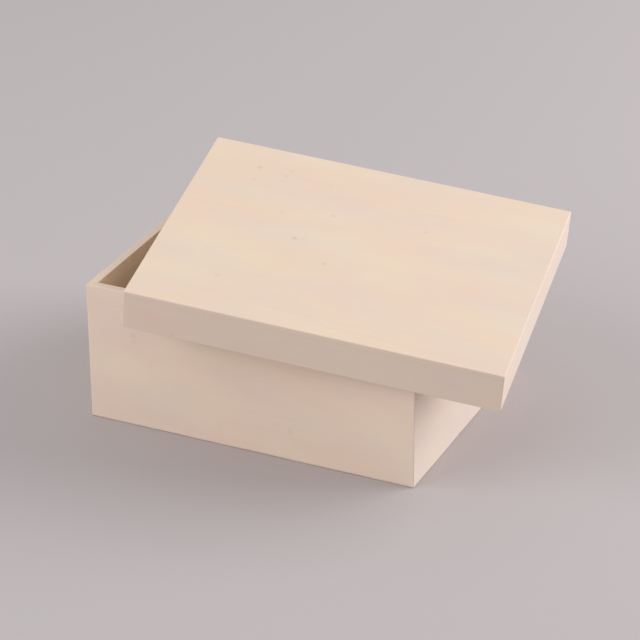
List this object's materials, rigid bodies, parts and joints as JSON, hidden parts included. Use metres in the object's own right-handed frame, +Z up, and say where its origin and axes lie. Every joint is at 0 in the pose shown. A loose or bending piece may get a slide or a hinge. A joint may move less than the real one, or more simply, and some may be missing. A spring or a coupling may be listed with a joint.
{
  "type": "wooden box",
  "caption": "Rectangular box of thin, pale, unfinished boards with a deep-rimmed, loose lift-off lid lying askew across its open top.",
  "frame": {"origin": "middle of the box's underside", "axes": "+X to the right along the front wall, +Y from the front wall to the back wall, +Z up out of the open top"},
  "size_m": [0.3014, 0.2387, 0.151],
  "materials": {
    "box_wood": "unfinished, finely sanded",
    "lid_wood": "unfinished, finely sanded"
  },
  "bodies": {
    "box": {"box_front_wall": "box_wood", "box_back_wall": "box_wood", "box_left_wall": "box_wood", "box_right_wall": "box_wood", "box_bottom_panel": "box_wood"},
    "lid": {"lid_top_panel": "lid_wood", "lid_front_rail": "lid_wood", "lid_back_rail": "lid_wood", "lid_left_rail": "lid_wood", "lid_right_rail": "lid_wood"}
  },
  "joints": [
    {"name": "lid_lift", "type": "slide", "parent": "box", "child": "lid", "axis": [0, 0, 1], "range_m": [0, 0.12]}
  ]
}
